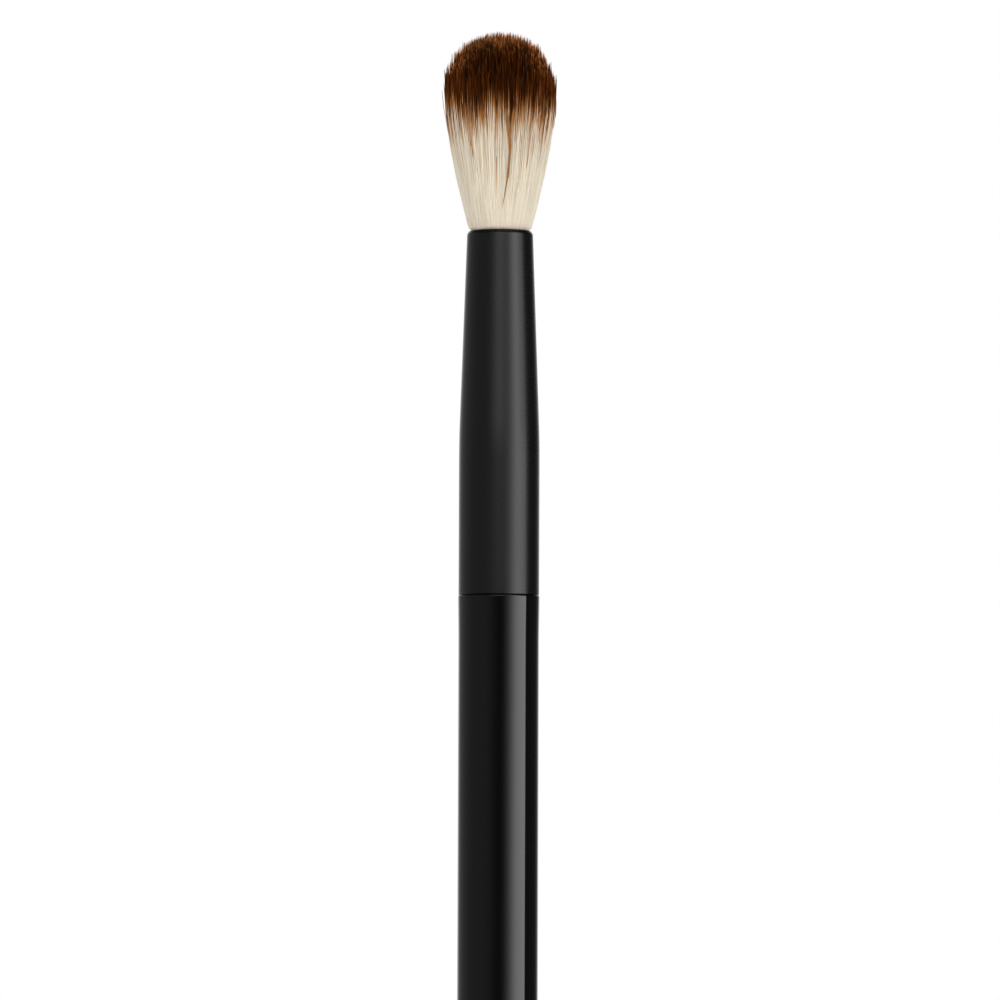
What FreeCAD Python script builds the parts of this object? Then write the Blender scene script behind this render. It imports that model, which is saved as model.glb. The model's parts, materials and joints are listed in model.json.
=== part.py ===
"""Domed blending brush for eyeshadow, modelled upright: handle below, bristles on top.

+Z runs along the brush towards the bristles. The origin is on the axis, at the middle of the
straight grip of the handle. Every length is in millimetres.
"""

import FreeCAD
import Part

import math
import os

# Handle: a turned stick with a long taper, and a tenon that the ferrule is glued over
grip_diameter = 8.06
grip_length = 40.0
shoulder_step = 0.05
shoulder_length = 4.0
shoulder_chamfer = 0.15
taper_length = 69.5
taper_ease = 4.0
tail_diameter = 5.2
tail_ease_share = 0.88
tenon_length = 14.0
tenon_chamfer = 0.6
groove_count = 3
groove_width = 1.2
groove_depth = 0.3
groove_pitch = 3.6

# Ferrule: a drawn tube, flush with the grip, straight over the tenon and then tapering to the mouth
ferrule_mouth_diameter = 6.6
ferrule_straight_length = 15.5
ferrule_cone_length = 21.0
ferrule_wall = 0.35
ferrule_base_chamfer = 0.08
ferrule_waist_ease = 2.0
ferrule_lip_ease_share = 0.88

# Adhesives: the film round the tenon and the plug that the bristle roots stand in
glue_film = 0.1
glue_setback = 1.0
plug_floor = 3.0
plug_grip = 4.5

# Bristles: locks of filaments that leave the mouth together, spread to a belly and end in a dome
root_depth = 12.0
belly_diameter = 11.4
belly_height = 12.7
dome_height = 7.2
tip_stagger = 0.9
bristle_fit = 0.05
lock_gap = 0.02
ring_count = 5
core_rings = 3
locks_per_ring = 6
lock_sides = 6
lock_tip_share = 0.18
flare_power = 1.4
dome_power = 2.35

# Binding thread: wound round the roots just above the plug, between the bristles and the ferrule
thread_diameter = 0.3
thread_turns = 4
thread_pitch = 0.75
thread_sides = 6
points_per_turn = 24

# How far a cutting shape runs past what it cuts
overrun = 1.0

# Turn between rings, and the stagger between neighbours, that never repeat
GOLDEN_SHARE = (math.sqrt(5.0) - 1.0) / 2.0
# Where each lock's sections lie along its free length, and how full the lock is there
lock_height_shares = (0.3, 0.62, 0.84, 1.0)
lock_full_shares = (1.0, 1.0, 0.86, lock_tip_share)

AXIS = FreeCAD.Vector(0, 0, 1)
ORIGIN = FreeCAD.Vector(0, 0, 0)

# Heights that follow from the sizes above
grip_top = grip_length / 2
grip_bottom = -grip_length / 2
shoulder_z = grip_top + shoulder_length
tail_z = grip_bottom - taper_length
tenon_top_z = shoulder_z + tenon_length
waist_z = shoulder_z + ferrule_straight_length
mouth_z = waist_z + ferrule_cone_length
root_z = mouth_z - root_depth
plug_top_z = root_z + plug_grip
thread_foot_z = plug_top_z + bristle_fit
thread_top_z = thread_foot_z + thread_pitch * thread_turns + thread_diameter

# Radii that follow from the sizes above
grip_radius = grip_diameter / 2
shoulder_radius = grip_radius + shoulder_step
tail_radius = tail_diameter / 2
ferrule_base_radius = grip_radius
ferrule_mouth_radius = ferrule_mouth_diameter / 2
bore_base_radius = ferrule_base_radius - ferrule_wall
bore_mouth_radius = ferrule_mouth_radius - ferrule_wall
tenon_radius = bore_base_radius - glue_film
thread_radius = thread_diameter / 2
belly_radius = belly_diameter / 2


def bore_radius(z):
    """Radius of the ferrule's bore at a height on its tapering part."""
    share = (z - waist_z) / ferrule_cone_length
    return bore_base_radius + (bore_mouth_radius - bore_base_radius) * share


# The bundle fills the mouth, and lower down the thread draws it in to fit inside the bore
bundle_mouth_radius = bore_mouth_radius - bristle_fit
winding_radius = bore_radius(thread_top_z) - bristle_fit - thread_radius
bundle_bound_radius = winding_radius - thread_radius - bristle_fit


def eased_corner(before, here, after, ease):
    """Start, middle and end of the arc that rounds a corner, from ease before it to ease after it."""
    into = (here - before).normalize()
    out = (after - here).normalize()
    towards_centre = (out - into).normalize()
    middle = here + towards_centre * ease * math.tan(into.getAngle(out) / 4)
    return here - into * ease, middle, here + out * ease


def eased_outline(corners):
    """Closed wire in the XZ plane through (radius, height, ease) corners, with an arc where ease isn't zero."""
    points = [FreeCAD.Vector(radius, 0, height) for radius, height, _ in corners]
    following = points[1:] + points[:1]
    bends = [
        eased_corner(points[index - 1], points[index], following[index], corners[index][2])
        for index in range(len(points))
    ]
    edges = []
    for index, (start, middle, end) in enumerate(bends):
        next_start = bends[(index + 1) % len(bends)][0]
        if corners[index][2]:
            edges.append(Part.Arc(start, middle, end).toShape())
        edges.append(Part.LineSegment(end, next_start).toShape())
    return Part.Wire(edges)


def turned(corners):
    """Solid turned about the axis from an eased outline."""
    return Part.Face(eased_outline(corners)).revolve(ORIGIN, AXIS, 360)


def slab(radius, low_z, high_z):
    """Plain disc about the axis, from one height to another."""
    return Part.makeCylinder(radius, high_z - low_z, FreeCAD.Vector(0, 0, low_z), AXIS)


def tenon_grooves():
    """Corners of the V-shaped glue grooves turned into the tenon, from the upper one to the lowest."""
    half_width = groove_width / 2
    middle_z = shoulder_z + tenon_length / 2
    corners = []
    for index in range(groove_count):
        z = middle_z + groove_pitch * ((groove_count - 1) / 2 - index)
        corners.append((tenon_radius, z + half_width, 0))
        corners.append((tenon_radius - groove_depth, z, 0))
        corners.append((tenon_radius, z - half_width, 0))
    return corners


def handle():
    """Turned stick: grooved tenon, shoulder, straight grip and a long taper to a rounded tail."""
    return turned([
        (0, tenon_top_z, 0),
        (tenon_radius - tenon_chamfer, tenon_top_z, 0),
        (tenon_radius, tenon_top_z - tenon_chamfer, 0),
        *tenon_grooves(),
        (tenon_radius, shoulder_z, 0),
        (shoulder_radius - shoulder_chamfer, shoulder_z, 0),
        (shoulder_radius, shoulder_z - shoulder_chamfer, 0),
        (grip_radius, grip_top, 0),
        (grip_radius, grip_bottom - taper_ease, taper_ease),
        (tail_radius, tail_z, tail_radius * tail_ease_share),
        (0, tail_z, 0),
    ])


def ferrule_bore():
    """The space inside the ferrule, run past both of its ends."""
    taper = (bore_base_radius - bore_mouth_radius) / ferrule_cone_length
    return turned([
        (0, shoulder_z - overrun, 0),
        (bore_base_radius, shoulder_z - overrun, 0),
        (bore_base_radius, waist_z, 0),
        (bore_mouth_radius - taper * overrun, mouth_z + overrun, 0),
        (0, mouth_z + overrun, 0),
    ])


def ferrule():
    """Drawn tube with an even wall, a rounded lip at the mouth and a chamfered edge at the base."""
    outside = turned([
        (0, shoulder_z, 0),
        (ferrule_base_radius - ferrule_base_chamfer, shoulder_z, 0),
        (ferrule_base_radius, shoulder_z + ferrule_base_chamfer, 0),
        (ferrule_base_radius, waist_z, ferrule_waist_ease),
        (ferrule_mouth_radius, mouth_z, ferrule_wall * ferrule_lip_ease_share),
        (0, mouth_z, 0),
    ])
    return outside.cut(ferrule_bore())


def tenon_glue():
    """Film of adhesive between the tenon and the ferrule, which fills the grooves and stops short of the end."""
    filled = ferrule_bore().common(slab(ferrule_base_radius, shoulder_z, tenon_top_z - glue_setback))
    return filled.cut(handle())


def root_glue_plug():
    """Cup of set adhesive across the ferrule, with the bristle roots standing in it."""
    plug = ferrule_bore().common(slab(ferrule_base_radius, root_z - plug_floor, plug_top_z))
    return plug.cut(slab(bundle_bound_radius + bristle_fit, root_z, plug_top_z + overrun))


def winding_corner(quarter):
    """Corner of the square helix that the thread's centre line touches halfway along each side."""
    angle = quarter * math.pi / 2
    radius = winding_radius / math.cos(math.pi / 4)
    height = thread_foot_z + thread_radius + thread_pitch * (quarter + 0.5) / 4
    return FreeCAD.Vector(radius * math.cos(angle), radius * math.sin(angle), height)


def winding_path():
    """Centre line of the thread: an arc for each quarter of a turn, each tangent to the next."""
    arcs = []
    for quarter in range(4 * thread_turns):
        before, here, after = (winding_corner(quarter + step) for step in (-1, 0, 1))
        half_side = (here - before).Length / 2
        arcs.append(Part.Arc(*eased_corner(before, here, after, half_side)).toShape())
    return Part.Wire(arcs)


def binding_thread():
    """One thread, with flattened sides, wound round the bound roots."""
    path = winding_path()
    first = path.Edges[0]
    start = first.firstVertex().Point
    circle = Part.makeCircle(thread_radius, start, first.tangentAt(first.FirstParameter))
    section = Part.makePolygon(circle.discretize(Number=thread_sides + 1))
    return path.makePipeShell([section], True, False)


def thread_gap():
    """Least room between the thread and itself, over points at least half a turn apart."""
    points = winding_path().discretize(Number=thread_turns * points_per_turn + 1)
    nearest = min(
        here.distanceToPoint(other)
        for index, here in enumerate(points)
        for other in points[index + points_per_turn // 2:]
    )
    return nearest - thread_diameter


def bundle_radius(height):
    """Outer radius of the bristles at a height above the mouth: widening, then upright from the belly."""
    short_of_belly = max(0.0, 1.0 - height / belly_height)
    return belly_radius - (belly_radius - bundle_mouth_radius) * short_of_belly ** flare_power


def dome_top(share):
    """Height above the mouth at which a lock ends, from its share of the bundle's radius."""
    return belly_height + dome_height * (1.0 - share ** dome_power) ** (1.0 / dome_power)


def stacked_prism(sections):
    """Solid through regular polygons, given as (centre, radius), that lie one above the other."""
    corners = [
        [
            centre + FreeCAD.Vector(radius * math.cos(turn), radius * math.sin(turn), 0)
            for turn in (2 * math.pi * side / lock_sides for side in range(lock_sides))
        ]
        for centre, radius in sections
    ]
    faces = [Part.Face(Part.makePolygon(ring + ring[:1])) for ring in (corners[0], corners[-1])]
    for low, high in zip(corners, corners[1:]):
        for side in range(lock_sides):
            following = (side + 1) % lock_sides
            quad = [low[side], low[following], high[following], high[side], low[side]]
            faces.append(Part.Face(Part.makePolygon(quad)))
    return Part.Solid(Part.Shell(faces))


def bristle_lock(ring, angle, tip_drop):
    """One lock: bound at its root, spreading with the bundle above the mouth, and drawn to a fine tip."""
    lock_share = 1.0 / (2 * ring_count + 1)
    centre_share = 2 * ring * lock_share
    free_length = dome_top(centre_share) - tip_drop
    direction = FreeCAD.Vector(math.cos(angle), math.sin(angle), 0)
    stations = [
        (root_z, bundle_bound_radius, 1.0),
        (thread_top_z, bundle_bound_radius, 1.0),
        (mouth_z, bundle_mouth_radius, 1.0),
    ]
    for height_share, full_share in zip(lock_height_shares, lock_full_shares):
        height = free_length * height_share
        stations.append((mouth_z + height, bundle_radius(height), full_share))
    sections = []
    for z, radius, full_share in stations:
        centre = direction * (centre_share * radius) + FreeCAD.Vector(0, 0, z)
        sections.append((centre, (lock_share * radius - lock_gap) * full_share))
    return stacked_prism(sections)


def bristles(rings):
    """The locks of some rings of the bundle; ring 0 is the single lock on the axis."""
    locks = []
    for ring in rings:
        in_ring = max(1, locks_per_ring * ring)
        for index in range(in_ring):
            angle = 2 * math.pi * (index / in_ring + ring * GOLDEN_SHARE)
            tip_drop = tip_stagger * ((index * GOLDEN_SHARE) % 1.0)
            locks.append(bristle_lock(ring, angle, tip_drop))
    return Part.Compound(locks)


def main():
    pieces = {
        "handle": handle(),
        "ferrule": ferrule(),
        "tenon_glue": tenon_glue(),
        "root_glue_plug": root_glue_plug(),
        "binding_thread": binding_thread(),
        "core_bristles": bristles(range(core_rings)),
        "middle_bristles": bristles(range(core_rings, ring_count)),
        "outer_bristles": bristles([ring_count]),
    }
    os.makedirs("parts", exist_ok=True)
    for name, shape in pieces.items():
        shape.exportStep(f"parts/{name}.step")
        print(f"{name}: {len(shape.Solids)} solids, valid {shape.isValid()}, {shape.Volume:.2f} mm3")
    print(f"overall length {mouth_z + belly_height + dome_height - tail_z:.2f} mm")
    print(f"least gap of the thread to itself {thread_gap():.3f} mm")


main()
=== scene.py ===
"""Looks of a domed blending brush for eyeshadow: filaments, ferrule, handle and the stage they stand on.

Every length is in metres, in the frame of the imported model: +Z runs along the brush towards the
bristles, and the origin is on the axis, at the middle of the straight grip.
"""

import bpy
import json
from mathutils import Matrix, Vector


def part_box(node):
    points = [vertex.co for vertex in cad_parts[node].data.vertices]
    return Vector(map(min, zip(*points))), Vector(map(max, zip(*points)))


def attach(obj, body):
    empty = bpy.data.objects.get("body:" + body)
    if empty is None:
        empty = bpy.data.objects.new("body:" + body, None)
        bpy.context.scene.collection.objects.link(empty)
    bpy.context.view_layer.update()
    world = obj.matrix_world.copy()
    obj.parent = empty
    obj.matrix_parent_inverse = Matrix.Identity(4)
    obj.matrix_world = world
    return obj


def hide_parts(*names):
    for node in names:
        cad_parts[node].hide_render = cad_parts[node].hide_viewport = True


bl_info = {
    "name": "Blending brush",
    "version": (1, 0, 0),
    "blender": (4, 5, 0),
    "location": "View3D > Sidebar > Blending brush",
    "description": "Dresses the packed brush with filaments, satin ferrule, lacquered handle and stage",
    "category": "Object",
}

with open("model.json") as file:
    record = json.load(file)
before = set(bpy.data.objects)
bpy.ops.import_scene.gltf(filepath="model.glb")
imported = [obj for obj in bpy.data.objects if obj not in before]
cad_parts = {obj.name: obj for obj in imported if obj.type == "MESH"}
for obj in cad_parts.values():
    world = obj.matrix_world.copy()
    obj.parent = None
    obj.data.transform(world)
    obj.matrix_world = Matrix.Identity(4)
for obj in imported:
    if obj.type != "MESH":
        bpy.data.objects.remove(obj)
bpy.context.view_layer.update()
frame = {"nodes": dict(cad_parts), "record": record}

import json
import math
from functools import partial

import bpy
import numpy as np
from bpy.props import FloatProperty, FloatVectorProperty, IntProperty, PointerProperty
from mathutils import Quaternion, Vector

HANDLE_LOW, HANDLE_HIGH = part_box("handle")
FERRULE_LOW, FERRULE_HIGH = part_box("ferrule")
ROOT_LOW, TUFT_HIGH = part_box("core_bristles")
THREAD_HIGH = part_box("binding_thread")[1]
GRIP = frame["record"]["mounts"][0]["dims"]
GRIP_RADIUS, HALF_GRIP = GRIP["r_mm"] / 1000.0, GRIP["length_mm"] / 2000.0
# From the mouth of the ferrule to the top of the bundle
FREE_LENGTH = TUFT_HIGH.z - FERRULE_HIGH.z

FULL_TURN = 2.0 * math.pi
GOLDEN_ANGLE = math.pi * (3.0 - math.sqrt(5.0))
# Facets round a turned piece
FACETS = 160
UV_NAME = "OFBake"

# Chamfer at the end of the tenon, then the pitch and half the width of its grooves
TENON_CHAMFER, GROOVE_PITCH, HALF_GROOVE = 0.0006, 0.0036, 0.0006
# Ease of the bend from the grip into the taper, and that of the tail as a share of its radius
TAPER_EASE, TAIL_EASE = 0.004, 0.88
# Broken edge at the base of the ferrule, and how far in and down its lip is broken, as shares of the wall
BASE_CHAMFER, LIP_IN, LIP_DOWN = 0.00006, 0.62, 0.85

# Start of the random numbers
SEED = 45
# Shares of the bundle's radius at which its core and its middle end
CORE_SHARE, MIDDLE_SHARE = 0.457, 0.819
# Stations along the free length, as shares of it: few where a filament is hidden, more where it shows
HIDDEN_STATIONS = np.array([0.0, 0.40, 0.70, 0.86, 0.95, 0.986, 1.0])
SHOWN_STATIONS = np.array([0.0, 0.022, 0.16, 0.36, 0.56, 0.74, 0.87, 0.95, 0.986, 1.0])
# Clearance of the bundle from the bore, and of the roots from the outside of the thread
BORE_GAP, THREAD_GAP = 0.00005, 0.00035
# Drift of a filament and of a lock over the free length, and lean of a clump, as shares of the radius
DRIFT, LOCK_DRIFT, CLUMP_LEAN = 0.017, 0.008, 0.012
# Sway of a filament as a share of the radius, and its waves over the free length in radians
SWAY, SWAY_WAVES = 0.010, 7.0
# How far a filament comes to the middle of its lock and of its clump
TO_LOCK, TO_CLUMP = 0.06, 0.72
# Mean and most by which a clump stands up, and the level it starts from
CLUMP_RISE, MOST_RISE, CLUMP_BASE = 0.00026, 0.00110, -0.00060
# Fall of the tips at the rim of a clump, mean fall of any tip, and most fall of a tip at the belly
RIM_FALL, TIP_FALL, BELLY_FALL = 0.00055, 0.00012, 0.0018
# Rise of all the tips, and of those on the fuller left side
TIP_RISE, LEFT_RISE = 0.00055, 0.00025
# Shares of the outer clumps and of the outer filaments that stand off
CLUMPS_OFF, FILAMENTS_OFF = 0.38, 0.12
# Thickness at the root as a share of the full one, the growth from there, the losses towards the tip and at
# it, and the gain just under the surface
ROOT_THICKNESS, GROWTH, UPPER_LOSS, TIP_LOSS, UNDER_GAIN = 0.70, 0.30, 0.18, 0.38, 0.6

# Length that the dye map's height runs over, from the mouth to above the tips
DYE_SPAN = 0.022
# A mark on the dye map is a cell, which tells the height at which the dye begins, and a place in it, which
# tells the filament's tone. The last cells belong to filaments with a wick of dye.
CELLS, DIPPED_CELLS = 48, 32
DIPPED_STEP, WICK_STEP = 0.0005, 0.0008
TONE_START, TONE_WIDTH = 0.1, 0.8
# Width on the map of one side of a filament, and height of its closed foot
STRIP, FOOT = 0.0006, 0.002
# Spread of the height at which the dye begins, between locks, clumps and filaments
LOCK_LEVEL, CLUMP_LEVEL, OWN_LEVEL = 0.00022, 0.00042, 0.00100
# Rise of that height at the left and the right side, which shapes the dye line and also paints those sides
# lighter as painted light, and how much more filaments differ there
LEFT_LEVEL, RIGHT_LEVEL, SIDE_SPREAD = 0.0003, 0.0007, 0.55
# Limits of that height, and the highest one of a wick
LOWEST_DYE, HIGHEST_DYE, HIGHEST_WICK = 0.0020, 0.0113, 0.0120
# Share of the filaments on which the dye has run down, and how far it has on average
RUN_SHARE, RUN_LENGTH = 0.07, 0.0016
# Middle of the tones, their spread between clumps and filaments, and how much lighter the left and right
# sides are painted, as painted light
MIDDLE_TONE, CLUMP_TONE, OWN_TONE, SIDE_PAINTED_LIGHT = 0.43, 0.20, 0.25, 0.38
# How many times lighter the lightest tone is than the darkest, the tone that leaves a colour as it is, and
# the tone of the wicks
TONE_RATIO, PLAIN_TONE, WICK_TONE = 14.0, 0.40, 0.44
# Heights on the map between which the tips turn lighter
TIPS_LOW, TIPS_HIGH = 0.83, 0.92
# Share by which the end of a short filament runs on towards the colour of the tips, and the share added at
# the left and right sides of the dome, which paints those sides lighter as painted light
RUN_ON, SIDE_PAINTED_RUN_ON = 0.62, 0.38

# Wicks of dye on the side that faces the camera. Each runs over the surface at a share of the radius to the
# right, which changes with the height by a slope and a bow. Then come its lowest height, half width and
# strength.
FRONT_WICKS = np.array([
    (0.19, -0.07, -0.144, 0.0018, 0.015, 1.0),
    (0.195, 0.053, 0.0, 0.0072, 0.006, 0.8),
    (0.30, 0.0, 0.0, 0.0054, 0.007, 0.7),
    (0.56, -0.03, 0.0, 0.0050, 0.007, 0.8),
    (0.71, 0.0, 0.0, 0.0086, 0.006, 0.8),
    (0.87, 0.01, 0.0, 0.0074, 0.007, 0.7),
    (0.40, 0.0, 0.0, 0.0090, 0.005, 0.7),
    (0.03, 0.0, 0.0, 0.0096, 0.005, 0.7),
    (-0.12, 0.0, 0.0, 0.0090, 0.005, 0.7),
    (-0.35, 0.01, 0.0, 0.0066, 0.005, 0.7),
    (-0.56, 0.02, 0.0, 0.0062, 0.006, 0.7),
    (-0.69, 0.0, 0.0, 0.0078, 0.005, 0.7),
    (-0.90, 0.0, 0.0, 0.0078, 0.007, 0.7),
    (-0.59, 0.0, 0.0, 0.0032, 0.002, 0.12),
    (-0.43, 0.0, 0.0, 0.0028, 0.002, 0.16),
    (-0.26, 0.01, 0.0, 0.0040, 0.002, 0.12),
    (-0.09, 0.0, 0.0, 0.0034, 0.002, 0.16),
    (0.43, 0.0, 0.0, 0.0030, 0.002, 0.16),
    (0.64, 0.0, 0.0, 0.0038, 0.002, 0.12),
    (0.77, 0.0, 0.0, 0.0044, 0.002, 0.16),
])
BACK_WICKS = 16
# Filaments of a wick for a half width of the whole radius
WICK_DENSITY = 400.0
# Share of the radius at which the wicks are set, and how far aside they may lie
WICK_SHARE, WICK_ASIDE = 0.972, 0.96
# How much higher the dye ends at the edge of a wick, and the power of the way to it
WICK_EDGE, WICK_POINT = 0.0050, 1.5
# Height at which a wick lies at its given share, unit of height of its slope and bow, and where they end
WICK_MIDDLE, WICK_UNIT, WICK_END = 0.0085, 0.005, 0.61
# Share of the radius at which a wick's filament lies below the wick, and its rise to the surface
WICK_UNDER, WICK_RISE = 0.90, 0.080
# Dye of the weakest wick, and how much more the strongest has
WEAK_WICK, WICK_RANGE = 0.04, 0.36
# Heights on the map: over how much of it a wick's dye comes, where its dipped part begins, and over how much
# of it that part comes to full depth
WICK_COMES, WICK_DIP, WICK_DEPTH = 0.07, 0.42, 0.25
# Stands for the lowest height of the wick on a filament that has none
NO_WICK = 1.0

# Brightness that glossy surfaces see round the brush: angle to the right of the camera in degrees, strength
SURROUNDINGS = (
    (-180, 1.0), (-158, 1.0), (-144, 0.35), (-106, 0.27), (-81, 0.22), (-42, 0.21), (-23, 0.15), (-12, 0.08),
    (2, 0.03), (11, 0.07), (19, 0.23), (28, 0.66), (37, 1.4), (46, 2.4), (56, 3.2), (66, 3.45), (82.5, 3.55),
    (84.5, 0.05), (132, 0.06), (150, 0.25), (158, 1.0), (180, 1.0),
)
# Radius and depth of the round floor, and its facets
FLOOR_RADIUS, FLOOR_DEPTH, FLOOR_FACETS = 0.36, 0.01, 96
# Distances from the origin between which the camera sees the floor turn white
WHITE_FROM, WHITE_BY = 0.13, 0.32


# Settings that a user would change


def Number(name, description, default, kind=FloatProperty, **limits):
    """Setting with its name, description and default, as a kind of property within limits."""
    return kind(name=name, description=description, default=default, **limits)


Count = partial(Number, kind=IntProperty)
Length = partial(Number, unit="LENGTH", subtype="DISTANCE", precision=6)
Angle = partial(Number, subtype="ANGLE")
Power = partial(Number, unit="POWER")
Colour = partial(Number, kind=FloatVectorProperty, subtype="COLOR", min=0.0, max=1.0)


class HandleSettings(bpy.types.PropertyGroup):
    """Sizes and finish of the turned handle."""

    shoulder_step: Length(
        "Shoulder step", "How far the shoulder stands proud of the grip", HANDLE_HIGH.x - GRIP_RADIUS)
    shoulder_chamfer: Length("Shoulder chamfer", "Broken edge where the handle meets the ferrule", 0.0001)
    tail_diameter: Length("Tail diameter", "Thickness of the handle just above its rounded end", 0.0052)
    tenon_diameter: Length("Tenon diameter", "Thickness of the tenon inside the ferrule", 0.00716)
    groove_depth: Length("Groove depth", "Depth of the glue grooves round the tenon", 0.0003)
    lacquer_colour: Colour("Lacquer", "Colour of the high-gloss lacquer", (0.0020, 0.0019, 0.0019))


class FerruleSettings(bpy.types.PropertyGroup):
    """Sizes and finish of the drawn metal tube."""

    mouth_diameter: Length("Mouth diameter", "Outside of the tube where the bristles leave it", 0.0066)
    straight_length: Length("Straight length", "Length of the straight part over the tenon", 0.0155)
    wall: Length("Wall", "Thickness of the tube", 0.00035)
    satin_colour: Colour("Satin black", "Colour of the satin finish", (0.0014, 0.0014, 0.0014))


class BristleSettings(bpy.types.PropertyGroup):
    """Number, sizes and colours of the filaments."""

    filament_count: Count("Filaments", "Filaments of the bundle, without those of the wicks", 8600, min=300)
    clump_count: Count("Clumps", "Small groups of filaments whose tips cling together", 2300, min=10)
    lock_count: Count("Locks", "Larger groups that lean together along their length", 110, min=5)
    diameter: Length("Filament diameter", "Thickness of a filament at the belly", 0.000091)
    belly_diameter: Length("Belly diameter", "Width of the bundle where it is widest", 0.0114)
    neck_diameter: Length(
        "Neck diameter", "Width of the bundle just above the mouth, where it swells over the lip", 0.0065)
    belly_height: Length("Belly height", "Height of the widest place above the mouth", 0.0127)
    flare_power: Number("Flare power", "How early the bundle spreads above the mouth", 1.4)
    dome_power: Number("Dome power", "Fullness of the dome, 2 for an ellipse", 2.35)
    dye_height: Length("Dye height", "Height above the mouth at which the dyed part begins", 0.0096)
    cream: Colour("Cream", "Colour of the undyed filament", (0.90, 0.815, 0.665))
    tan: Colour("Tan", "Colour where the dye runs out", (0.55, 0.255, 0.080))
    brown: Colour("Brown", "Colour of the dyed filament", (0.135, 0.036, 0.0056))
    dark_brown: Colour("Dark brown", "Colour of the dyed filament below its tip", (0.036, 0.0086, 0.0007))
    tip: Colour("Tip", "Colour of the fine tips", (0.265, 0.096, 0.0250))


class StageSettings(bpy.types.PropertyGroup):
    """Camera, floor and light."""

    view_height: Length("View height", "Height on the axis that the camera looks at", 0.03355)
    view_aside: Length("View aside", "How far to the right of the axis the camera looks", 0.000085)
    camera_distance: Length("Camera distance", "From the camera to the point it looks at", 0.72)
    camera_elevation: Angle("Camera elevation", "Angle of the camera above the horizon", math.radians(-2.9))
    camera_roll: Angle("Camera roll", "Turn of the camera about its own line of sight", math.radians(0.2))
    view_width: Length("View width", "Width of the picture at the point the camera looks at", 0.1)
    floor_colour: Colour("Floor", "Colour of the plain floor", (0.86, 0.86, 0.86))
    key_power: Power("Key light", "Power of the soft light on the right", 4.2)
    fill_power: Power("Fill light", "Power of the soft light on the left", 2.4)
    top_power: Power("Top light", "Power of the soft light above and behind", 3.0)
    ambient: Number("Ambient", "Strength of the even light from all round", 0.53)


# Meshes


def joined(*parts):
    """Arrays stretched to one shape and set side by side on a new last axis."""
    return np.stack(np.broadcast_arrays(*parts), axis=-1)


def put_piece(name, points, faces, corner_uv):
    """Object with a smooth mesh from whole arrays: points, faces of three or four corners, and corner UVs."""
    mesh = bpy.data.meshes.new(name)
    corners = np.concatenate([block.ravel() for block in faces])
    sizes = np.concatenate([np.full(len(block), block.shape[1]) for block in faces])
    starts = np.cumsum(sizes) - sizes
    mesh.vertices.add(len(points))
    mesh.vertices.foreach_set("co", np.ascontiguousarray(points, np.float32).ravel())
    mesh.loops.add(len(corners))
    mesh.loops.foreach_set("vertex_index", corners.astype(np.int32))
    mesh.polygons.add(len(sizes))
    mesh.polygons.foreach_set("loop_start", starts.astype(np.int32))
    mesh.polygons.foreach_set("use_smooth", np.ones(len(sizes), bool))
    mesh.update(calc_edges=True)
    layer = mesh.uv_layers.new(name=UV_NAME)
    flat_uv = np.concatenate([block.reshape(-1, 2) for block in corner_uv])
    layer.uv.foreach_set("vector", flat_uv.astype(np.float32).ravel())
    mesh.validate()
    piece = bpy.data.objects.new(name, mesh)
    bpy.context.scene.collection.objects.link(piece)
    return piece


def dress(piece, material, slot, *nodes):
    """Gives a piece its material, lets it ride on the brush and stand for CAD nodes. The slot is not used."""
    piece.data.materials.append(material)
    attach(piece, "root")
    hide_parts(*nodes)


def eased_profile(corners, closed, steps=7, hold=0.00004, least_ease=0.00001):
    """Points of a turned outline through (radius, height, ease) corners.

    Each corner becomes the circular arc that touches both sides at ease from it, as a rational
    quadratic curve whose middle weight is the cosine of half the turn. A holding point on either
    side keeps the shading of the straight runs flat. An open outline keeps its two end points.
    """
    corners = np.asarray(corners, float)
    place, ease = corners[:, :2], np.maximum(corners[:, 2], least_ease)[:, None]
    into = place - np.roll(place, 1, axis=0)
    into /= np.linalg.norm(into, axis=1)[:, None]
    out = np.roll(into, -1, axis=0)
    weight = np.sqrt(np.clip((1.0 + (into * out).sum(1)) / 2.0, 0.0, 1.0))[:, None, None]
    t = np.linspace(0.0, 1.0, steps)[None, :, None]
    first, last = (place - into * ease)[:, None], (place + out * ease)[:, None]
    bend = 2.0 * weight * t * (1.0 - t)
    arc = (1.0 - t) ** 2 * first + bend * place[:, None] + t ** 2 * last
    arc /= (1.0 - t) ** 2 + bend + t ** 2
    before, after = first - into[:, None] * hold, last + out[:, None] * hold
    points = np.concatenate([before, arc, after], axis=1)
    if closed:
        return points.reshape(-1, 2)
    return np.concatenate([place[:1], points[1:-1].reshape(-1, 2), place[-1:]])


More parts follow.
